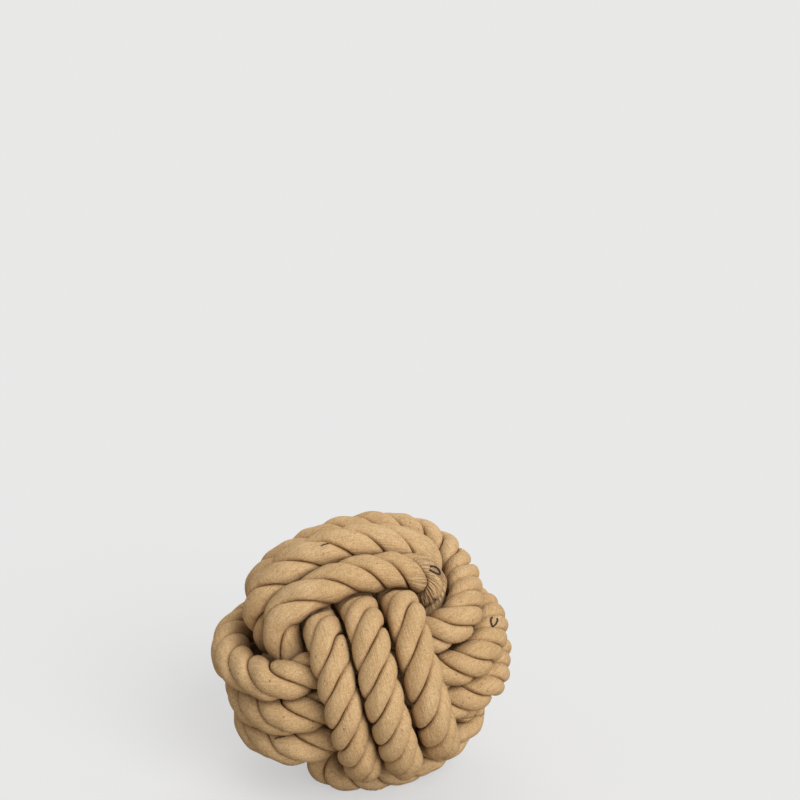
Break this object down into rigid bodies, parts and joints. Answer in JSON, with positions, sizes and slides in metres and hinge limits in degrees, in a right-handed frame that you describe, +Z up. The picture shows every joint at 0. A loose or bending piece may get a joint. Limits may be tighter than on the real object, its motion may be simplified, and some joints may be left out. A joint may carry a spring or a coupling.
{
  "type": "rope dog toy",
  "caption": "Chew and throw ball: one thick natural cotton rope wound as a monkey's fist round a core ball, with both ends tucked in and whipped, and two dark sewn stitches.",
  "frame": {"origin": "under the middle of the ball, on the floor that its pressed bottom turns rest on", "axes": "+Z up, -Y towards the bundle of turns that faces the viewer, +X to that viewer's right along the side bundles"},
  "size_m": [0.1722, 0.1666, 0.1502],
  "materials": {
    "rope": "matt undyed cotton, laid from soft strands, slightly fuzzy",
    "core": "matt ball of wound cotton yarn",
    "twine": "matt whipping twine",
    "thread": "dark waxed sewing thread"
  },
  "bodies": {
    "root": {"core_ball": "core", "start_tail": "rope", "first_winding": "rope", "second_winding": "rope", "third_winding": "rope", "finish_tail": "rope", "start_whipping": "twine", "finish_whipping": "twine", "side_stitch": "thread", "top_stitch": "thread"}
  },
  "joints": []
}
